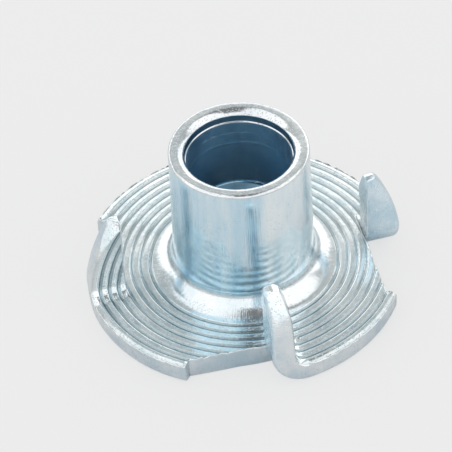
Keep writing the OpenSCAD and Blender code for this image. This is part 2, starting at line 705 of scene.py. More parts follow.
    def outline(
        self, shares: list[tuple[Stretch, np.ndarray]], inset: float
    ) -> tuple[np.ndarray, np.ndarray, np.ndarray]:
        """The flat pattern's outline, moved into the sheet.

        Args:
            shares: where its points stand, from outline_shares.
            inset: how far the outline is moved in.

        Returns:
            The points' x, y rows, which of them are on the lug, and where each
            stands along the outline.
        """
        lug, rim = self.lug, self.sheet.flange_r - inset
        inner, outer, tip = lug.slit_x(inset), lug.chord_r + inset, lug.length - inset
        half, far, reach = lug.half_fold, lug.far_angle, lug.corner_reach(inset)
        corner = (
            reach * math.cos(far) - inset * math.sin(far),
            -reach * math.sin(far) - inset * math.cos(far),
        )
        points, on_lug, at = [], [], []
        for kind, share in shares:
            if kind is Stretch.RIM:
                start = math.pi / 2 - far - math.asin(inset / rim)
                a = start + (math.asin(half / rim) - start) * share
                x, y = rim * np.cos(a), rim * np.sin(a)
            elif kind is Stretch.LUG_RIM:
                y = half - (half + tip) * share
                x = np.sqrt(rim**2 - y**2)
            elif kind is Stretch.TIP:
                start = math.sqrt(rim**2 - tip**2)
                x, y = start + (outer - start) * share, np.full_like(share, -tip)
            elif kind is Stretch.LUG_SIDE:
                x, y = np.full_like(share, outer), -tip + (half + tip) * share
            elif kind is Stretch.SLIT:
                x, y = outer + (inner - outer) * share, np.full_like(share, half)
            elif kind is Stretch.CHORD:
                x = inner + (corner[0] - inner) * share
                y = half + (corner[1] - half) * share
            else:
                t = reach + (math.sqrt(rim**2 - inset**2) - reach) * share
                x = t * math.cos(far) - inset * math.sin(far)
                y = -t * math.sin(far) - inset * math.cos(far)
            points.append(np.stack([x, y], axis=1))
            on_lug.append(np.full(len(share), kind.on_lug))
            at.append(kind.value + share)
        return np.vstack(points), np.concatenate(on_lug), np.concatenate(at)

    def placed(self, xy: np.ndarray, z: np.ndarray, on_lug: np.ndarray, quarter: int) -> np.ndarray:
        """Folds the lug's points up and turns a quarter to its place.

        Args:
            xy: points of the flat pattern.
            z: their heights in the flat sheet.
            on_lug: which of them are on the lug.
            quarter: which quarter they belong to.

        Returns:
            The points in space.
        """
        flat = np.column_stack([xy, z])
        folded = self.lug.fold_up(flat, self.leans[quarter])
        return turned(np.where(on_lug[:, None], folded, flat), 90 * quarter)

    def build_face(self, skin: Skin, rings: np.ndarray, upper: bool, quarter: int) -> None:
        """Makes the upper or lower face of one quarter and of its prong.

        Args:
            skin: the skin to add to.
            rings: the ring radii of the face.
            upper: whether this is the upper face.
            quarter: which quarter is built.
        """
        height = self.sheet.top if upper else self.sheet.bottom
        finish = Finish.RIDGED if upper else Finish.BACK
        lean = self.leans[quarter]
        lug_rings = rings[rings >= self.lug.chord_r + self.sheet.edge - NEAR]
        rows = []
        for r, angles in zip(rings, self.petal_rows(rings)):
            xy = r * np.stack([np.cos(angles), np.sin(angles)], axis=1)
            flags = np.zeros(len(xy), bool)
            points = self.placed(xy, height(np.full(len(xy), r)), flags, quarter)
            rows.append((skin.add_points(points, self.hollow(r) if upper else 0.0), angles))
        self.sew_rows(skin, rows, upper, finish)
        rows = []
        for r, y in zip(lug_rings, self.lug_rows(lug_rings)):
            xy = np.stack([np.sqrt(r**2 - y**2), y], axis=1)
            flags = np.ones(len(xy), bool)
            points = self.placed(xy, height(np.full(len(xy), r)), flags, quarter)
            lost = self.lug.loss(*xy.T, lean) * self.sheet.thickness
            left = 1 - np.clip(lost / self.sheet.grooves.depth, 0, 1)
            rows.append((skin.add_points(points, self.hollow(r) * left if upper else 0.0), y))
        self.sew_rows(skin, rows, upper, finish)

    def hollow(self, r: float) -> float:
        """How much painted shade the upper face takes: how deep in a groove it lies, and a share on the
        band down to the rim.

        Args:
            r: radius of the place.

        Returns:
            From 0, on a crest, to 1.
        """
        # The band down to the rim takes a share too, so that the painted groove shade reaches it
        sheet, rim_share = self.sheet, 0.3
        band = np.clip((r - sheet.flange_r + sheet.band_w) / sheet.band_w, 0, 1)
        deep = float(sheet.grooves.valley(np.array([r]))[0] / sheet.grooves.depth)
        return max(deep, rim_share * band)

    @staticmethod
    def sew_rows(skin: Skin, rows: list, upper: bool, finish: Finish) -> None:
        """Joins the rings of a face, the right way up.

        Args:
            skin: the skin to add to.
            rows: pairs of indices and places, from the innermost ring out.
            upper: whether the face looks up.
            finish: what it wears.
        """
        for inner, outer in zip(rows[:-1], rows[1:]):
            first, second = (outer, inner) if upper else (inner, outer)
            skin.sew_strip(*first, *second, finish)

    def build_walls(self, skin: Skin, top: np.ndarray, bottom: np.ndarray, quarter: int) -> None:
        """Makes the sheared walls of one quarter, with their rounded edges.

        Args:
            skin: the skin to add to.
            top: ring radii of the upper face.
            bottom: ring radii of the lower face.
            quarter: which quarter is built.
        """
        edge = self.sheet.edge
        turn = np.linspace(0, math.pi / 2, self.EDGE_STEPS + 1)
        steps = [(a, True) for a in turn] + [(a, False) for a in turn[:0:-1]]
        shares = self.outline_shares(top)
        rows = []
        for angle, upper in steps:
            inset, off = edge * (1 - math.sin(angle)), edge * (1 - math.cos(angle))
            xy, on_lug, at = self.outline(shares, inset)
            r = np.hypot(*xy.T)
            z = self.sheet.top(r) - off if upper else self.sheet.bottom(r) + off
            if upper and 0 < off < edge:
                fading = math.cos(off / edge * math.pi / 2)
                z = z + np.where(on_lug, 0, self.burr_at(xy, quarter) * fading)
            rows.append(skin.add_points(self.placed(xy, z, on_lug, quarter)))
        skin.sew_grid(rows[: self.EDGE_STEPS], Finish.MOUTH)
        skin.sew_grid(rows[self.EDGE_STEPS - 1 :], Finish.SHEARED)
        xy, on_lug, low_at = self.outline(self.outline_shares(bottom), edge)
        z = self.sheet.bottom(np.hypot(*xy.T))
        last = skin.add_points(self.placed(xy, z, on_lug, quarter))
        skin.sew_strip(rows[-1], at, last, low_at, Finish.SHEARED)

    def burr_at(self, xy: np.ndarray, quarter: int) -> np.ndarray:
        """Height of the ragged burr that the shears left along the upper edge.

        Args:
            xy: points of the flat pattern.
            quarter: which quarter they belong to.

        Returns:
            The height at each point.
        """
        heights = []
        for place in turned(np.column_stack([xy, np.zeros(len(xy))]), 90 * quarter):
            at = Vector(place)
            height = self.BURR_MEAN
            for amount, fineness in self.BURR_WAVES:
                height += amount * noise.noise(at * fineness)
            heights.append(height)
        return self.burr * np.clip(heights, 0, self.BURR_MOST)

    def close_slits(self, points: np.ndarray) -> np.ndarray:
        """Draws the flange's cut up to each prong, beside its fold.

        Args:
            points: the nut's points.

        Returns:
            The points with the cuts moved.
        """
        # The cut moves fully as far as full along the chord, then less, and from none on not at all
        lug, full, none = self.lug, 2.3, 3.6
        share, softness, slack, above = 0.9, 0.5, 0.01, 0.1
        for quarter in range(QUARTERS):
            x, y, z = turned(points, -90 * quarter).T
            along = lug.half_fold - y
            gap = np.clip(along, 0, none) * math.tan(-lug.cut_angle)
            inside = lug.chord_r - gap - x
            fade = 1 - np.clip((along - full) / (none - full), 0, 1)
            near = np.exp(-np.clip(inside, 0, None) / softness)
            on_cut = (inside > -slack) & (x > 0) & (z < self.sheet.thickness + above)
            shift = np.where(on_cut, share * gap * fade * near, 0)
            points = turned(np.column_stack([x + shift, y, z]), 90 * quarter)
        return points

    def build(self, skin: Skin) -> None:
        """Makes the whole flange with its prongs.

        Args:
            skin: the skin to add to.
        """
        top, bottom = self.top_rings(), self.bottom_rings()
        for quarter in range(QUARTERS):
            self.build_face(skin, top, True, quarter)
            self.build_face(skin, bottom, False, quarter)
            self.build_walls(skin, top, bottom, quarter)
            LOG.info("flange quarter %d with its prong: %d points so far", quarter, skin.count)

    def bend_corners(self, points: np.ndarray) -> np.ndarray:
        """Bends up the flange's free corner at the far end of each notch.

        Args:
            points: the nut's points.

        Returns:
            The points with the corners lifted.
        """
        x, y, z = points.T
        r, angle = np.hypot(x, y), np.degrees(np.arctan2(y, x))
        lift = np.zeros(len(points))
        # A corner bends over this many degrees of the rim, outside a land that stays flat
        reach, land, above = 26.0, 0.6, 0.05
        inner = self.inner_top_r + land
        outward = np.clip((r - inner) / (self.sheet.flange_r - inner), 0, 1) ** 2
        for quarter, amount in enumerate(self.lifts):
            corner = 90 * quarter - math.degrees(self.lug.far_angle)
            past = (corner - angle + 180) % 360 - 180
            near = np.clip(1 - np.abs(past) / reach, 0, 1) ** 2
            lift += amount * near * outward
        low = z < self.sheet.thickness + above
        return np.column_stack([x, y, z + np.where(low, lift, 0)])


# ---------------------------------------------------------------- the barrel


@dataclass(frozen=True)
class Thread:
    """The thread inside the lower bore.

    Attributes:
        inner_r: radius over its crests.
        outer_r: radius at its roots.
        pitch: distance from one turn to the next.
        crest: share of the pitch that a crest takes.
        root: share of the pitch that a root takes.
    """

    inner_r: float = 2.5
    outer_r: float = 3.0
    pitch: float = 1.0
    crest: float = 0.25
    root: float = 0.125

    def cut_into(self, r: np.ndarray, z: np.ndarray, angle: np.ndarray) -> np.ndarray:
        """Radius of the wall once the thread is cut into it.

        Args:
            r: radius of the plain wall at each point.
            z: height of each point.
            angle: angle of each point about the axis.

        Returns:
            The radius of each point.
        """
        turn = (z / self.pitch - angle / (2 * math.pi)) % 1
        off = np.abs(turn - 0.5)
        flank = 0.5 - (self.crest + self.root) / 2
        share = 1 - np.clip((off - self.root / 2) / flank, 0, 1)
        return np.maximum(r, self.inner_r + (self.outer_r - self.inner_r) * share)


@dataclass
class Barrel:
    """The drawn barrel: its foot, wall, mouth and bore.

    Attributes:
        top_r: outside radius at the mouth.
        foot_r: outside radius above the foot's fillet.
        fillet: radius of the foot's fillet.
        height: height of the mouth.
        mouth_round: rounding of the mouth's outer edge.
        lip_r: radius under the rounded lip.
        lip_round: rounding of the lip.
        lip_turn: how far the lip's rounding turns down, in degrees.
        ledge_depth: depth of the ledge below the mouth.
        plain_r: radius of the plain bore.
        plain_depth: depth of the plain bore's lower end.
        entry_round: rounding of the hole's edge underneath.
        scores: depths of the faint rings that the drawing punch left in the bore.
        score_h: how far they stand out.
        score_angle: where they are clearest, in radians.
        thread: the thread in the lower bore.
    """

    top_r: float = 4.06
    foot_r: float = 4.16
    fillet: float = 1.28
    height: float = 10.15
    mouth_round: float = 0.19
    lip_r: float = 3.13
    lip_round: float = 0.55
    lip_turn: float = 66.0
    ledge_depth: float = 0.76
    plain_r: float = 3.06
    plain_depth: float = 5.4
    entry_round: float = 0.5
    scores: tuple[float, ...] = (1.61, 2.36)
    score_h: float = 0.02
    score_angle: float = 1.9
    thread: Thread = Thread()

    # Chords of each part of the section, from the foot over the mouth and down the bore
    FILLET_STEPS = 16
    WALL_STEPS = 12
    MOUTH_STEPS = 7
    LIP_STEPS = 16
    LEDGE_STEPS = 4
    PLAIN_STEPS = 21
    TURN_STEPS = 16
    ENTRY_STEPS = 8
    # Chords of the fillet that wear the collar's finish
    COLLAR_STEPS = 13
    # Rounding of the ledge's edges, and where the rows of points lie across a score
    LEDGE_ROUND = 0.035
    SCORE_ROWS = (-0.05, -0.02, 0.02, 0.05)

    @property
    def reach(self) -> float:
        """Radius at which the foot's fillet ends on the flange."""
        return self.foot_r + self.fillet

    @property
    def hole_r(self) -> float:
        """Radius at which the hole's rounded edge ends on the underside."""
        return self.thread.inner_r + self.entry_round

    def outside(self, sheet_t: float) -> Section:
        """Section of the outside, from the flange up over the mouth to the lip.

        Args:
            sheet_t: thickness of the sheet.

        Returns:
            The section.
        """
        top = self.height
        centre = (self.reach, sheet_t + self.fillet)
        section = arc(centre, self.fillet, 270, 180, self.FILLET_STEPS)
        foot_z = sheet_t + self.fillet
        for share in np.linspace(0, 1, self.WALL_STEPS + 1)[1:-1]:
            z = foot_z + (top - self.mouth_round - foot_z) * share
            section.append((self.foot_r + (self.top_r - self.foot_r) * share, z))
        shoulder = (self.top_r - self.mouth_round, top - self.mouth_round)
        section += arc(shoulder, self.mouth_round, 0, 90, self.MOUTH_STEPS)
        face_r = self.lip_r + self.lip_round * math.sin(math.radians(self.lip_turn))
        section.append(((shoulder[0] + face_r) / 2, top))
        lip = (face_r, top - self.lip_round)
        return section + arc(lip, self.lip_round, 90, 90 + self.lip_turn, self.LIP_STEPS)

    def inside(self) -> Section:
        """Section of the bore, from under the lip down to the flange's underside.

        Returns:
            The section.
        """
        ledge, plain = self.height - self.ledge_depth, self.height - self.plain_depth
        soft = self.LEDGE_ROUND
        section = [(self.lip_r, ledge + soft), (self.lip_r - soft / 3, ledge + soft / 3)]
        section += arc((self.plain_r + soft, ledge - soft), soft, 90, 180, self.LEDGE_STEPS)
        levels = np.linspace(ledge - soft, plain, self.PLAIN_STEPS + 1)[1:]
        marked = [self.height - depth + off for depth in self.scores for off in self.SCORE_ROWS]
        section += [(self.plain_r, float(z)) for z in sorted([*levels, *marked], reverse=True)]
        step = self.plain_r - self.thread.inner_r
        rows = int(self.TURN_STEPS * (plain - self.entry_round) / self.thread.pitch)
        for z in np.linspace(plain, self.entry_round, rows)[1:]:
            section.append((self.plain_r - min(plain - z, step), float(z)))
        entry = (self.hole_r, self.entry_round)
        return section + arc(entry, self.entry_round, 180, 270, self.ENTRY_STEPS)[1:]

    @staticmethod
    def add_ring(skin: Skin, r: np.ndarray | float, z: float, angles: np.ndarray) -> np.ndarray:
        """Adds a level ring of points to the skin, and gives their indices."""
        ring = [r * np.cos(angles), r * np.sin(angles), np.full(len(angles), z)]
        return skin.add_points(np.stack(ring, axis=1))

    def build(self, skin: Skin, sheet_t: float, angles: np.ndarray) -> None:
        """Makes the barrel.

        Args:
            skin: the skin to add to.
            sheet_t: thickness of the flange's sheet.
            angles: angles of its columns.
        """
        outside, inside = self.outside(sheet_t), self.inside()
        rows = [self.add_ring(skin, r, z, angles) for r, z in outside]
        collar = self.COLLAR_STEPS
        mouth = next(i for i, (_, z) in enumerate(outside) if z >= self.height - self.mouth_round)
        skin.sew_grid(rows[: collar + 1], Finish.COLLAR, closed=True)
        skin.sew_grid(rows[collar : mouth + 1], Finish.PLATED, closed=True)
        skin.sew_grid(rows[mouth:], Finish.MOUTH, closed=True)
        rows = rows[-1:]
        plain, thread_z = self.height - self.plain_depth, self.entry_round / 4
        side = np.clip(np.cos(angles - self.score_angle), 0, 1)
        for r, z in inside:
            wall = np.full(len(angles), r)
            for depth in self.scores:
                near = max(1 - abs(self.height - z - depth) / self.SCORE_ROWS[-1], 0)
                wall = wall - self.score_h * side * near
            if thread_z < z < plain:
                wall = self.thread.cut_into(wall, np.full(len(angles), z), angles)
            rows.append(self.add_ring(skin, wall, z, angles))
        # The rows are the lip's last, two under the lip, the ledge, the plain bore and the thread
        ledge = self.LEDGE_STEPS + 3
        lead = next(i for i, (_, z) in enumerate(inside) if z <= plain) + 1
        # The band under the lip and the thread wear near-black zinc, a painted shade
        skin.sew_grid(rows[:2], Finish.THREAD, closed=True)
        skin.sew_grid(rows[1 : ledge + 1], Finish.MOUTH, closed=True)
        skin.sew_grid(rows[ledge : lead + 1], Finish.BORE, closed=True)
        skin.sew_grid(rows[lead : lead + 2], Finish.MOUTH, closed=True)
        skin.sew_grid(rows[lead + 1 :], Finish.THREAD, closed=True)
        LOG.info("barrel: %d rows of %d points", len(outside) + len(inside), len(angles))


@dataclass
class TeeNut:
    """The whole nut as one welded mesh.

    Attributes:
        flange: the ridged flange and its prongs.
        barrel: the barrel, its bore and its thread.
        wobble: how far the pressed shape strays from the true one.
        seed: sets the pattern of the straying.
    """

    flange: Flange
    barrel: Barrel
    wobble: float = 0.02
    seed: int = 7

    # Fineness of the broad and the fine waves of the straying, share of the fine ones, and the
    # height up to which it fades in from the flat underside
    BROAD, FINE, FINE_SHARE, FADE_H = 0.22, 0.9, 0.35, 1.2
    SEED_SHIFT = (3.1, 1.7)

    def strayed(self, points: np.ndarray) -> np.ndarray:
        """Adds the slight unevenness of a pressed part.

        Args:
            points: the points of the true shape.

        Returns:
            The uneven points.
        """
        moved = np.empty_like(points)
        # Without a seed the noise vectors would be others on each run
        noise.seed_set(self.seed)
        shift = Vector((*(self.seed * share for share in self.SEED_SHIFT), 0.0))
        for i, (x, y, z) in enumerate(points):
            at = Vector((x, y, z))
            broad = noise.noise_vector(at * self.BROAD + shift)
            fine = noise.noise_vector(at * self.FINE - shift)
            off = (broad + self.FINE_SHARE * fine) * self.wobble
            depth = min(max(z / self.FADE_H, 0.0), 1.0)
            moved[i] = (x + off.x * depth, y + off.y * depth, z + off.z * depth)
        return moved

    def kept_inside(self, points: np.ndarray) -> np.ndarray:
        """Keeps the points inside the box of the true part.

        Args:
            points: the points of the nut, in millimetres.

        Returns:
            The points, moved back where they left the box.
        """
        low, high = (np.array(corner) / MM for corner in CAD_BOX)
        return np.clip(points, low, high)

    def build(self, materials: list[bpy.types.Material]) -> bpy.types.Object:
        """Makes the object.

        Args:
            materials: one material for each finish, in the order of Finish.

        Returns:
            The nut.
        """
        skin = Skin()
        self.flange.build(skin)
        lattice = self.flange.lattice[:-1]
        angles = np.concatenate([lattice + math.pi / 2 * quarter for quarter in range(QUARTERS)])
        self.barrel.build(skin, self.flange.sheet.thickness, angles)
        points, hollows, faces, finishes = skin.welded()
        points = self.flange.close_slits(points)
        points = self.flange.bend_corners(points)
        points = turned(points, self.flange.lug.turn)
        points = self.kept_inside(self.strayed(points))
        mesh = bpy.data.meshes.new("tee_nut_skin")
        mesh.from_pydata([tuple(p * MM) for p in points], [], faces)
        for material in materials:
            mesh.materials.append(material)
        mesh.polygons.foreach_set("material_index", finishes)
        mesh.polygons.foreach_set("use_smooth", [True] * len(faces))
        mesh.attributes.new(HOLLOW, "FLOAT", "POINT").data.foreach_set("value", hollows)
        mesh.update()
        nut = bpy.data.objects.new("tee_nut_visual", mesh)
        bpy.context.scene.collection.objects.link(nut)
        LOG.info("nut: %d points, %d faces", len(points), len(faces))
        return nut


# ---------------------------------------------------------------- node helpers


@dataclass
class Graph:
    """Short ways of adding nodes to a node tree.

    Attributes:
        tree: the node tree.
    """

    tree: bpy.types.NodeTree

    def feed(self, target: bpy.types.NodeSocket, value: object) -> None:
        """Links a socket to an input, or sets the input's value.

        Args:
            target: the input.
            value: a socket or a plain value.
        """
        if isinstance(value, bpy.types.NodeSocket):
            self.tree.links.new(value, target)
        else:
            target.default_value = value

    def node(
        self, kind: str, inputs: dict[str | int, object] | None = None, **values: object
    ) -> bpy.types.Node:
        """Adds a node.

        Args:
            kind: the node's type.
            inputs: sockets or plain values for its inputs, by their name or number.
            values: properties of the node.

        Returns:
            The node.
        """
        made = self.tree.nodes.new(kind)
        for name, value in values.items():
            setattr(made, name, value)
        for name, value in (inputs or {}).items():
            self.feed(made.inputs[name], value)
        return made

    def maths(self, operation: str, *inputs: object) -> bpy.types.NodeSocket:
        """Adds a math node that works on the given sockets or numbers, and gives its result."""
        return self.node("ShaderNodeMath", dict(enumerate(inputs)), operation=operation).outputs[0]

    def dot(self, where: object, way: tuple[float, float, float]) -> bpy.types.NodeSocket:
        """Gives how far a vector reaches along a direction."""
        made = self.node("ShaderNodeVectorMath", {0: where, 1: way}, operation="DOT_PRODUCT")
        return made.outputs["Value"]

    def stretch(
        self, value: object, low: float, high: float, to_low: float = 0.0, to_high: float = 1.0
    ) -> bpy.types.NodeSocket:
        """Maps a value smoothly from one range to another.

        Args:
            value: the socket to map.
            low: the value that becomes to_low.
            high: the value that becomes to_high.
            to_low: the result at the low end.
            to_high: the result at the high end.

        Returns:
            The mapped value.
        """
        inputs = {"Value": value, "From Min": low, "From Max": high, "To Min": to_low, "To Max": to_high}
        made = self.node("ShaderNodeMapRange", inputs, interpolation_type="SMOOTHSTEP")
        return made.outputs["Result"]

    def band(self, value: object, low: float, high: float, soft: float) -> bpy.types.NodeSocket:
        """Marks where a value lies between two limits.

        Args:
            value: the socket to look at.
            low: the lower limit.
            high: the upper limit.
            soft: how far each edge of the mark is softened.

        Returns:
            1 well inside, 0 well outside.
        """
        into = self.stretch(value, low - soft, low + soft)
        past = self.stretch(value, high - soft, high + soft, 1.0, 0.0)
        return self.maths("MULTIPLY", into, past)

    def noise(
        self, where: object, scale: object, detail: float, roughness: float
    ) -> bpy.types.NodeSocket:
        """Adds a noise texture.

        Args:
            where: the coordinates.
            scale: its scale.
            detail: how many octaves it has.
            roughness: how strong the finer octaves are.

        Returns:
            Its value.
        """
        inputs = {"Vector": where, "Scale": scale, "Detail": detail, "Roughness": roughness}
        return self.node("ShaderNodeTexNoise", inputs).outputs["Fac"]

    def blend(self, share: object, first: object, second: object) -> bpy.types.NodeSocket:
        """Mixes two colours.

        Args:
            share: how much of the second colour there is.
            first: the first colour.
            second: the second colour.

        Returns:
            The mixed colour.
        """
        # Inputs 6 and 7 and output 2 are the node's colour sockets
        made = self.node("ShaderNodeMix", {0: share, 6: first, 7: second}, data_type="RGBA")
        return made.outputs[2]


def bare_graph(owner: bpy.types.Material | bpy.types.World) -> Graph:
    """Empties the node tree of a material or a world.

    Args:
        owner: the material or world.

    Returns:
        A graph to build it anew.
    """
    owner.use_nodes = True
    owner.node_tree.nodes.clear()
    return Graph(owner.node_tree)


def new_group(
    name: str, inputs: dict[str, tuple[str, object]], outputs: dict[str, str]
) -> tuple[Graph, bpy.types.bpy_prop_collection, bpy.types.bpy_prop_collection]:
    """Starts a shader node group.

    Args:
        name: its name.
        inputs: socket type and default for each input.
        outputs: socket type for each output.

    Returns:
        A graph for the group, the sockets that it is given and those that it gives out.
    """
    group = bpy.data.node_groups.new(name, "ShaderNodeTree")
    for label, (kind, default) in inputs.items():
        socket = group.interface.new_socket(label, in_out="INPUT", socket_type=kind)
        if default is not None:
            socket.default_value = default
    for label, kind in outputs.items():
        group.interface.new_socket(label, in_out="OUTPUT", socket_type=kind)
    graph = Graph(group)
    return graph, graph.node("NodeGroupInput").outputs, graph.node("NodeGroupOutput").inputs


FLOAT, COLOR, VECTOR = "NodeSocketFloat", "NodeSocketColor", "NodeSocketVector"


def plating_tint() -> bpy.types.NodeTree:
    """Zinc's colour: cool and warm drifts and small cloudy patches.

    Returns:
        The group.
    """
    inputs = {
        "Vector": (VECTOR, None),
        "Cool": (COLOR, (0.7, 0.8, 0.87, 1)),
        "Warm": (COLOR, (0.85, 0.86, 0.86, 1)),
        "Scale": (FLOAT, 300.0),
    }
    graph, given, result = new_group("plating tint", inputs, {"Color": COLOR, "Cloud": FLOAT})
    times_finer, broad_share, fine_share = 6.0, 0.7, 0.3
    finer_scale = graph.maths("MULTIPLY", given["Scale"], times_finer)
    broad = graph.noise(given["Vector"], given["Scale"], detail=3.0, roughness=0.55)
    finer = graph.noise(given["Vector"], finer_scale, detail=4.0, roughness=0.6)
    weighed = graph.maths("MULTIPLY", broad, broad_share), graph.maths("MULTIPLY", finer, fine_share)
    share = graph.stretch(graph.maths("ADD", *weighed), 0.36, 0.64)
    graph.feed(result["Color"], graph.blend(share, given["Cool"], given["Warm"]))
    graph.feed(result["Cloud"], finer)
    return graph.tree


def pitting() -> bpy.types.NodeTree:
    """Small pits and specks of a barrel-plated surface.

    Returns:
        The group.
    """
    inputs = {"Vector": (VECTOR, None), "Scale": (FLOAT, 6000.0), "Amount": (FLOAT, 0.5)}
    graph, given, result = new_group("pitting", inputs, {"Height": FLOAT, "Mask": FLOAT})
    where, scale = given["Vector"], given["Scale"]
    # The fineness of the patches of pits and of the grain, against that of the pits
    patch_fineness, grain_fineness, grain_height = 0.11, 0.45, 0.6
    cell_inputs = {"Vector": where, "Scale": scale, "Randomness": 1.0}
    cells = graph.node("ShaderNodeTexVoronoi", cell_inputs, feature="F1")
    patch_scale = graph.maths("MULTIPLY", scale, patch_fineness)
    patches = graph.noise(where, patch_scale, detail=3.0, roughness=0.6)
    level = graph.maths("SUBTRACT", 1.0, given["Amount"])
    pitted = graph.stretch(graph.maths("SUBTRACT", patches, level), -0.35, 0.05)
    dent = graph.stretch(cells.outputs["Distance"], 0.34, 0.08)
    mask = graph.maths("MULTIPLY", dent, pitted)
    grain_scale = graph.maths("MULTIPLY", scale, grain_fineness)
    grain = graph.noise(where, grain_scale, detail=3.0, roughness=0.6)
    height = graph.maths("SUBTRACT", graph.maths("MULTIPLY", grain, grain_height), mask)
    graph.feed(result["Height"], height)
    graph.feed(result["Mask"], mask)
    return graph.tree


def draw_lines() -> bpy.types.NodeTree:
    """Fine lines along the drawing direction of the barrel, or round its axis.

    Returns:
        The group.
    """
    inputs = {"Vector": (VECTOR, None), "Round": (FLOAT, 200.0), "Along": (FLOAT, 200.0)}
    graph, given, result = new_group("draw lines", inputs, {"Height": FLOAT, "Mask": FLOAT})
    x, y, z = graph.node("ShaderNodeSeparateXYZ", {0: given["Vector"]}).outputs
    radius = graph.maths("SQRT", graph.maths("ADD", *(graph.maths("MULTIPLY", v, v) for v in (x, y))))
    # On the axis itself the direction is not defined
    safe = graph.maths("MAXIMUM", radius, 1e-6)
    across, beside = (
        graph.maths("MULTIPLY", graph.maths("DIVIDE", v, safe), given["Round"]) for v in (x, y)
    )
    up = graph.maths("MULTIPLY", graph.maths("ADD", z, radius), given["Along"])
    joined = graph.node("ShaderNodeCombineXYZ", {0: across, 1: beside, 2: up})
    lines = graph.noise(joined.outputs[0], 1.0, detail=3.0, roughness=0.6)
    graph.feed(result["Height"], lines)
    graph.feed(result["Mask"], graph.stretch(lines, 0.56, 0.7))
    return graph.tree


# ---------------------------------------------------------------- materials


@dataclass(frozen=True)
class Metal:
    """One finish of the zinc plating.

    Attributes:
        name: the material's name.
        cool: its colour where it is cool.
        warm: its colour where it is warm.
        dull: its colour in pits and specks.
        smooth: roughness of the smoothest places.
        rough: roughness of the roughest places.
        pits: how much of it is pitted.
        pit_scale: scale of the pits.
        pit_depth: depth of the pits, in metres.
        lines_round: scale of the lines round the axis.
        lines_along: scale of the lines along the axis.
        line_depth: depth of the lines, in metres.
        cloud_scale: scale of the clouds in its colour.
        cloud_height: how much finer the clouds are along the axis than across it.
        groove_shade: its colour in the grooves, a painted shade.
        groove_shading: how much of that painted shade the grooves take.
        lighter_side: direction of the side on which the painted groove shade is lighter.
    """

    name: str
    cool: Color
    warm: Color
    dull: Color
    smooth: float
    rough: float
    pits: float
    pit_scale: float
    pit_depth: float
    lines_round: float
    lines_along: float
    line_depth: float
    cloud_scale: float = 260.0
    cloud_height: float = 1.0
    # Painted shade in the grooves: its colour, its amount and the side where it is lighter
    groove_shade: Color = (0.26, 0.34, 0.37, 1)
    groove_shading: float = 0.0
    lighter_side: tuple[float, float, float] = (0.5, 0.86, 0.0)


METALS = {
    Finish.PLATED: Metal(
        name="plated zinc",
        cool=(0.50, 0.73, 0.86, 1),
        warm=(0.86, 0.92, 0.94, 1),
        dull=(0.45, 0.56, 0.62, 1),
        smooth=0.06,
        rough=0.17,
        pits=0.3,
        pit_scale=7000,
        pit_depth=0.000005,
        lines_round=60,
        lines_along=120,
        line_depth=0.00001,
        cloud_scale=330.0,
        cloud_height=0.16,
    ),
    Finish.RIDGED: Metal(
        name="ridged zinc",
        cool=(0.57, 0.66, 0.69, 1),
        warm=(0.82, 0.86, 0.87, 1),
        dull=(0.42, 0.50, 0.54, 1),
        smooth=0.13,
        rough=0.27,
        pits=0.5,
        pit_scale=8000,
        pit_depth=0.000014,
        lines_round=8,
        lines_along=5200,
        line_depth=0.000005,
        # Painted shade in the grooves
        groove_shading=0.85,
    ),
    Finish.SHEARED: Metal(
        name="sheared zinc",
        cool=(0.57, 0.68, 0.75, 1),
        warm=(0.80, 0.84, 0.86, 1),
        dull=(0.47, 0.53, 0.57, 1),
        smooth=0.14,
        rough=0.3,
        pits=0.38,
        pit_scale=7000,
        pit_depth=0.000014,
        lines_round=70,
        lines_along=500,
        line_depth=0.000012,
    ),
    Finish.BORE: Metal(
        name="bored zinc",
        cool=(0.46, 0.72, 0.90, 1),
        warm=(0.58, 0.81, 0.95, 1),
        dull=(0.30, 0.44, 0.54, 1),
        smooth=0.34,
        rough=0.48,
        pits=0.2,
        pit_scale=7000,
        pit_depth=0.000004,
        lines_round=5,
        lines_along=900,
        line_depth=0.000002,
    ),
    Finish.MOUTH: Metal(
        name="faced zinc",
        cool=(0.62, 0.66, 0.69, 1),
        warm=(0.78, 0.80, 0.80, 1),
        dull=(0.42, 0.43, 0.44, 1),
        smooth=0.07,
        rough=0.2,
        pits=0.45,
        pit_scale=9000,
        pit_depth=0.000012,
        lines_round=12,
        lines_along=2600,
        line_depth=0.000005,
    ),
    # Painted shade: zinc far darker than the bore, under the lip and in the thread
    Finish.THREAD: Metal(
        name="zinc darkened as shade",
        cool=(0.13, 0.23, 0.30, 1),
        warm=(0.18, 0.29, 0.37, 1),
        dull=(0.10, 0.16, 0.21, 1),
        smooth=0.3,
        rough=0.45,
        pits=0.3,
        pit_scale=7000,
        pit_depth=0.00001,
        lines_round=5,
        lines_along=900,
        line_depth=0.000002,
    ),
    Finish.BACK: Metal(
        name="pressed zinc",
        cool=(0.58, 0.76, 0.86, 1),
        warm=(0.78, 0.89, 0.96, 1),
        dull=(0.50, 0.63, 0.69, 1),
        smooth=0.16,
        rough=0.34,
        pits=0.5,
        pit_scale=9000,
        pit_depth=0.000012,
        lines_round=260,
        lines_along=1600,
        line_depth=0.00004,
        cloud_scale=700.0,
    ),
    Finish.COLLAR: Metal(
        name="burnished zinc",
        cool=(0.61, 0.69, 0.73, 1),
        warm=(0.79, 0.82, 0.83, 1),
        dull=(0.56, 0.60, 0.62, 1),
        smooth=0.08,
        rough=0.22,
        pits=0.3,
        pit_scale=9000,
        pit_depth=0.000012,
        lines_round=60,
        lines_along=400,
        line_depth=0.000006,
    ),
}


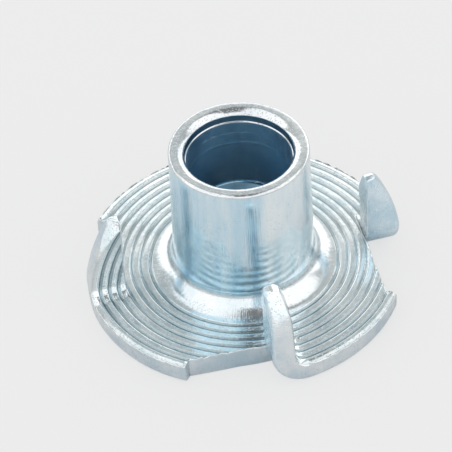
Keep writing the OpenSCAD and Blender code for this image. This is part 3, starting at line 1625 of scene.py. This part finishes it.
@dataclass
class Metals:
    """Builds the materials from shared node groups.

    Attributes:
        tint: the group of zinc's colour.
        pits: the group of its pits.
        lines: the group of its lines.
    """

    tint: bpy.types.NodeTree = field(default_factory=plating_tint)
    pits: bpy.types.NodeTree = field(default_factory=pitting)
    lines: bpy.types.NodeTree = field(default_factory=draw_lines)

    @staticmethod
    def groove_shade(graph: Graph, metal: Metal, where: object, colour: object) -> bpy.types.NodeSocket:
        """Paints shade into the grooves by darkening a colour there, less towards one side.

        Args:
            graph: the material's graph.
            metal: its settings.
            where: its coordinates.
            colour: the clean colour.

        Returns:
            The colour with the painted groove shade.
        """
        # Across this much of the nut, in metres, the painted groove shade falls off to a share on the
        # lighter side
        darkest_at, lightest_at, lighter_share = -0.006, 0.003, 0.6
        hollow = graph.node("ShaderNodeAttribute", attribute_name=HOLLOW).outputs["Fac"]
        side = graph.dot(where, metal.lighter_side)
        shade_by_side = graph.stretch(side, darkest_at, lightest_at, metal.groove_shading, metal.groove_shading * lighter_share)
        # The painted shade deepens with the groove's hollow and with the side
        groove_shading = graph.maths("MULTIPLY", graph.stretch(hollow, 0.05, 0.45), shade_by_side)
        return graph.blend(groove_shading, colour, metal.groove_shade)

    @staticmethod
    def embossed(graph: Graph, *reliefs: tuple[object, float]) -> bpy.types.NodeSocket:
        """Lays reliefs one over the other.

        Args:
            graph: the material's graph.
            reliefs: the height of each and its depth in metres.

        Returns:
            The normal.
        """
        under: dict[str | int, object] = {}
        for height, depth in reliefs:
            bump = graph.node("ShaderNodeBump", {"Distance": depth, "Height": height, **under})
            under = {"Normal": bump.outputs["Normal"]}
        return under["Normal"]

    def build(self, metal: Metal) -> bpy.types.Material:
        """Makes one material.

        Args:
            metal: its settings.

        Returns:
            The material.
        """
        material = bpy.data.materials.new(metal.name)
        graph = bare_graph(material)
        where = graph.node("ShaderNodeTexCoord").outputs["Object"]
        drawn = {"Scale": (1, 1, metal.cloud_height), "Vector": where}
        tinted = {
            "Vector": graph.node("ShaderNodeMapping", drawn).outputs[0],
            "Cool": metal.cool,
            "Warm": metal.warm,
            "Scale": metal.cloud_scale,
        }
        pitted = {"Vector": where, "Scale": metal.pit_scale, "Amount": metal.pits}
        lined = {"Vector": where, "Round": metal.lines_round, "Along": metal.lines_along}
        tint, pits, lines = (
            graph.node("ShaderNodeGroup", inputs, node_tree=group).outputs
            for group, inputs in ((self.tint, tinted), (self.pits, pitted), (self.lines, lined))
        )
        colour = graph.blend(pits["Mask"], tint["Color"], metal.dull)
        # Painted shade darkens the grooves of the ridged face
        if metal.groove_shading > 0:
            colour = self.groove_shade(graph, metal, where, colour)
        uneven = graph.maths("MAXIMUM", pits["Mask"], lines["Mask"])
        uneven = graph.maths("MAXIMUM", uneven, tint["Cloud"])
        looks = {
            "Metallic": 1.0,
            "Base Color": colour,
            "Roughness": graph.stretch(uneven, 0.3, 1.0, metal.smooth, metal.rough),
            "Normal": self.embossed(
                graph, (lines["Height"], metal.line_depth), (pits["Height"], metal.pit_depth)
            ),
        }
        shader = graph.node("ShaderNodeBsdfPrincipled", looks)
        graph.node("ShaderNodeOutputMaterial", {"Surface": shader.outputs[0]})
        LOG.info("material %s", metal.name)
        return material


# ---------------------------------------------------------------- the studio


@dataclass
class Studio:
    """A pale floor and a soft white tent.

    Attributes:
        size: side of the floor.
        floor_color: colour of the floor.
        backdrop: colour that the camera sees behind everything.
        backdrop_share: how much of the floor that the camera sees is backdrop.
        camera_azimuth: azimuth of the camera in degrees, about which the tent is built.
        tent_level: brightness of the tent above and in front.
        sweep_level: brightness of the sweep behind the part.
        gap_start: angle over from the camera at which the tent ends, in degrees.
        gap_end: angle over from the camera at which the sweep begins, in degrees.
        gap_soft: softness of both edges of the gap between them, in degrees.
        gap_color: colour of the dim room seen through that gap.
        slot_side: how far the slot in the tent lies to the camera's right.
        slot_width: half the width of the slot.
        slot_core: share of that half which is fully open.
        slot_low: angle over from the camera at which the slot begins, in degrees.
        slot_high: angle over from the camera at which the slot ends, in degrees.
        slot_level: brightness of the room seen through the slot.
    """

    size: float = 1.2
    floor_color: Color = (0.72, 0.72, 0.72, 1)
    backdrop: Color = (0.86, 0.86, 0.86, 1)
    backdrop_share: float = 0.78
    camera_azimuth: float = -101.0
    tent_level: float = 1.32
    sweep_level: float = 1.6
    gap_start: float = 118.0
    gap_end: float = 142.0
    gap_soft: float = 3.0
    gap_color: Color = (0.40, 0.42, 0.42, 1)
    slot_side: float = 0.1
    slot_width: float = 0.25
    slot_core: float = 0.6
    slot_low: float = 50.0
    slot_high: float = 118.0
    slot_level: float = 0.2

    def build_floor(self) -> bpy.types.Object:
        """Makes the floor.

        Returns:
            The floor.
        """
        half = self.size / 2
        mesh = bpy.data.meshes.new("floor")
        corners = [(-half, -half, 0), (half, -half, 0), (half, half, 0), (-half, half, 0)]
        mesh.from_pydata(corners, [], [(0, 1, 2, 3)])
        floor = bpy.data.objects.new("floor", mesh)
        bpy.context.scene.collection.objects.link(floor)
        material = bpy.data.materials.new("floor")
        graph = bare_graph(material)
        seen = graph.node("ShaderNodeLightPath").outputs["Is Camera Ray"]
        share = graph.maths("MULTIPLY", seen, self.backdrop_share)
        glow = graph.node("ShaderNodeEmission", {"Color": self.backdrop, "Strength": 1.0}).outputs[0]
        matt = graph.node("ShaderNodeBsdfDiffuse", {"Color": self.floor_color}).outputs[0]
        mixed = graph.node("ShaderNodeMixShader", {0: share, 1: matt, 2: glow})
        graph.node("ShaderNodeOutputMaterial", {"Surface": mixed.outputs[0]})
        mesh.materials.append(material)
        floor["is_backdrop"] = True
        LOG.info("floor")
        return floor

    def build_world(self) -> None:
        """Makes the tent as a world that is white above and in front, and greyer behind."""
        world = bpy.data.worlds.new("tent")
        bpy.context.scene.world = world
        graph = bare_graph(world)
        where = graph.node("ShaderNodeTexCoord").outputs["Generated"]
        towards = math.radians(self.camera_azimuth)
        ahead = graph.dot(where, (math.cos(towards), math.sin(towards), 0))
        aside = graph.dot(where, (-math.sin(towards), math.cos(towards), 0))
        height = graph.node("ShaderNodeSeparateXYZ", {0: where}).outputs[2]
        over = graph.maths("ARCTAN2", height, ahead)
        start, end, soft = (math.radians(a) for a in (self.gap_start, self.gap_end, self.gap_soft))
        gap = graph.band(over, start, end, soft)
        colour = graph.blend(gap, (1, 1, 1, 1), self.gap_color)
        level = graph.stretch(over, start, end, self.tent_level, self.sweep_level)
        off = graph.maths("ABSOLUTE", graph.maths("SUBTRACT", aside, self.slot_side))
        narrow = graph.stretch(off, self.slot_width * self.slot_core, self.slot_width, 1.0, 0.0)
        low, high = math.radians(self.slot_low), math.radians(self.slot_high)
        slot = graph.maths("MULTIPLY", narrow, graph.band(over, low, high, 2 * soft))
        dim = graph.stretch(slot, 0.0, 1.0, 1.0, self.slot_level)
        strength = graph.maths("MULTIPLY", level, dim)
        tent = graph.node("ShaderNodeBackground", {"Color": colour, "Strength": strength})
        graph.node("ShaderNodeOutputWorld", {"Surface": tent.outputs[0]})
        LOG.info("tent")


@dataclass(frozen=True)
class View:
    """The camera.

    Attributes:
        azimuth: its azimuth in degrees.
        elevation: its elevation in degrees.
        roll: how far it is turned about its own axis, in degrees.
        distance: its distance from the origin, in millimetres.
        shift: how far the origin is from the middle of its view, in millimetres.
        lens: its focal length, on a sensor 36 mm wide.
    """

    azimuth: float = -101.0
    elevation: float = 44.16
    roll: float = 3.30
    distance: float = 155.45
    shift: tuple[float, float] = (0.980, -2.879)
    lens: float = 207.35

    SENSOR_W = 36.0
    # How near and how far it sees, in metres
    NEAREST, FARTHEST = 0.01, 10.0

    def build(self) -> bpy.types.Object:
        """Makes the camera and makes it the scene's own.

        Returns:
            The camera.
        """
        data = bpy.data.cameras.new("camera")
        data.lens, data.sensor_width = self.lens, self.SENSOR_W
        data.clip_start, data.clip_end = self.NEAREST, self.FARTHEST
        camera = bpy.data.objects.new("camera", data)
        a, e, roll = (math.radians(v) for v in (self.azimuth, self.elevation, self.roll))
        back = Vector((math.cos(e) * math.cos(a), math.cos(e) * math.sin(a), math.sin(e)))
        right = Vector((-math.sin(a), math.cos(a), 0))
        up = back.cross(right)
        place = (back * self.distance - right * self.shift[0] - up * self.shift[1]) * MM
        across = right * math.cos(roll) - up * math.sin(roll)
        upward = right * math.sin(roll) + up * math.cos(roll)
        axes = Matrix((across, upward, back)).transposed().to_4x4()
        camera.matrix_world = Matrix.Translation(place) @ axes
        bpy.context.scene.collection.objects.link(camera)
        bpy.context.scene.camera = camera
        LOG.info("camera")
        return camera


# ---------------------------------------------------------------- putting it together


def note_size(after: tuple[Vector, Vector]) -> None:
    """Logs one line about the sizes; it writes nothing.

    Args:
        after: two corners of the visual piece's box; not used.
    """
    LOG.info("sizes written")


def main() -> None:
    """Builds the nut and its studio."""
    logging.basicConfig(level=logging.INFO, format="%(name)s: %(message)s")
    sheet, barrel = Sheet(), Barrel()
    # The prongs at the right, at the back, at the left and in front, as the camera sees them
    leans = (
        Lean(twist=6.0, tip_t=0.6, tip_l=1.6, dome=0.1),
        Lean(twist=2.0, tip_t=0.7, tip_l=1.5, dome=0.15),
        Lean(out=-0.06, tip_t=0.58, tip_l=2.9, tip_side=2.5, dome=0.14),
        Lean(tip_t=0.9, tip_l=2.1, tip_side=0.3, dome=0.34),
    )
    flange = Flange(
        sheet=sheet,
        lug=Lug(sheet),
        leans=leans,
        lifts=(0.12, 0.09, 0.15, 0.11),
        inner_top_r=barrel.reach,
        inner_bottom_r=barrel.hole_r,
        columns=74,
    )
    metals = Metals()
    materials = [metals.build(METALS[finish]) for finish in Finish]
    nut = TeeNut(flange, barrel).build(materials)
    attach(nut, BODY)
    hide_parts(NODE)
    studio = Studio()
    studio.build_floor()
    studio.build_world()
    View().build()
    bpy.context.scene.view_settings.view_transform = "Standard"
    note_size(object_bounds())


if __name__ == "__main__":
    main()
